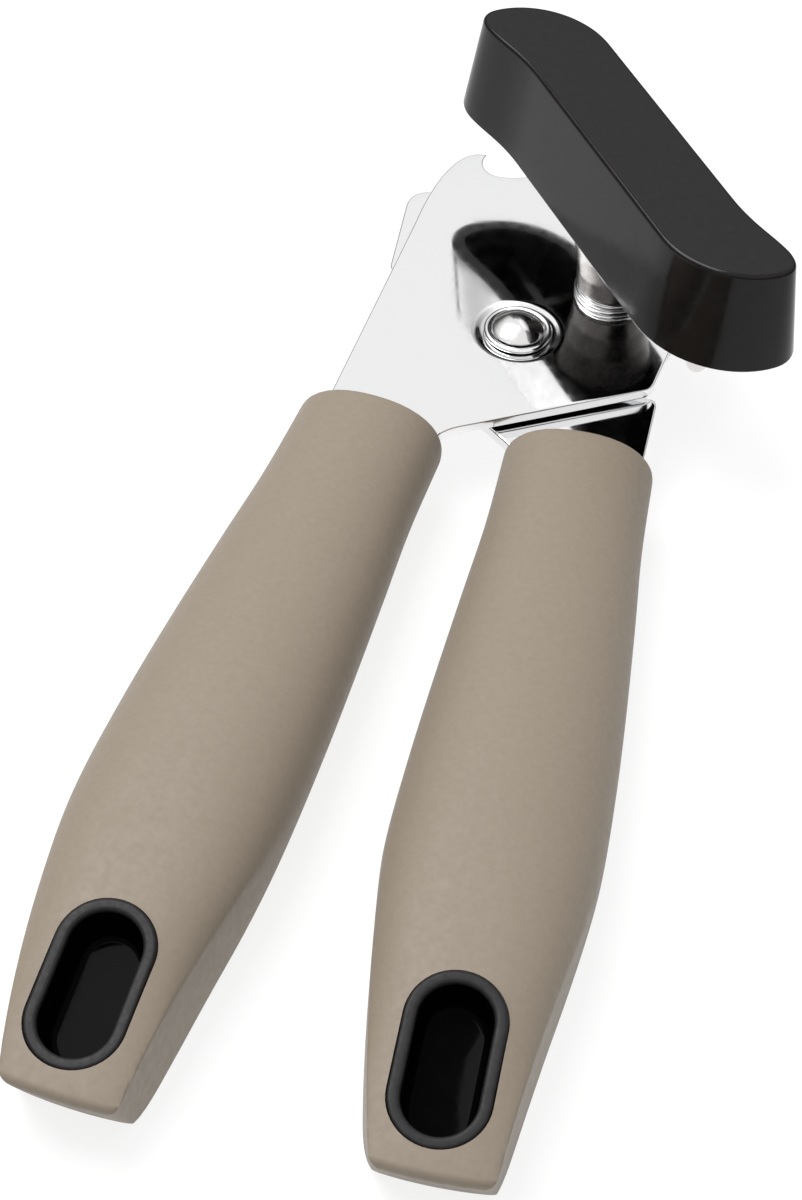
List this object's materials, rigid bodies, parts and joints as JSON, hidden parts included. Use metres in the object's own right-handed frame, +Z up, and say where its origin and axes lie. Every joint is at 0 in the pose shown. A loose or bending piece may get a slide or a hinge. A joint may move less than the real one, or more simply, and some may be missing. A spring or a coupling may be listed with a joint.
{
  "type": "manual can opener",
  "caption": "Hand can opener with two plate levers, soft oval handles, an S-shaped turn key, a serrated feed wheel and a free cutter wheel.",
  "frame": {"origin": "middle of the base of the bounding box, with the opener lying on its back", "axes": "+Y along the handles towards the cutting head, +Z up out of the front plate along the turn key's spindle"},
  "size_m": [0.0836, 0.2064, 0.0452],
  "materials": {
    "chrome_plate": "bright plated sheet steel",
    "bright_steel": "bright plated turned steel",
    "steel": "plain machined steel",
    "soft_grip": "soft-touch, fine matte grain",
    "core_plastic": "moulded, plain",
    "rim_plastic": "moulded, satin rim",
    "key_plastic": "moulded, glossy sides and a matte top"
  },
  "bodies": {
    "front_lever": {"front_plate": "chrome_plate", "left_grip": "soft_grip", "left_handle_core": "core_plastic", "left_hang_liner": "rim_plastic", "rim_pin": "bright_steel", "pivot_rivet": "bright_steel", "pivot_front_washer": "bright_steel", "pivot_spacer": "steel", "spindle_bush": "bright_steel"},
    "rear_lever": {"rear_plate": "chrome_plate", "right_grip": "soft_grip", "right_handle_core": "core_plastic", "right_hang_liner": "rim_plastic", "pivot_back_washer": "steel", "cutter_bush": "steel", "cutter_washer": "steel", "cutter_stud": "steel"},
    "key_drive": {"turn_key": "key_plastic", "drive_spindle": "steel", "key_collar": "bright_steel", "spindle_washer": "bright_steel", "feed_wheel_washer": "steel", "feed_wheel": "steel"},
    "cutter": {"cutter_wheel": "bright_steel"}
  },
  "joints": [
    {"name": "lever_pivot", "type": "hinge", "parent": "front_lever", "child": "rear_lever", "pos_m": [-0.00304, 0.0579, 0.0104], "axis": [0, 0, 1], "range_deg": [0, 40]},
    {"name": "key_turn", "type": "hinge", "parent": "front_lever", "child": "key_drive", "pos_m": [0.00976, 0.0724, 0.0127], "axis": [0, 0, 1], "continuous": true},
    {"name": "cutter_spin", "type": "hinge", "parent": "rear_lever", "child": "cutter", "pos_m": [-0.00644, 0.079, 0.0045], "axis": [0, 0, 1], "continuous": true}
  ]
}
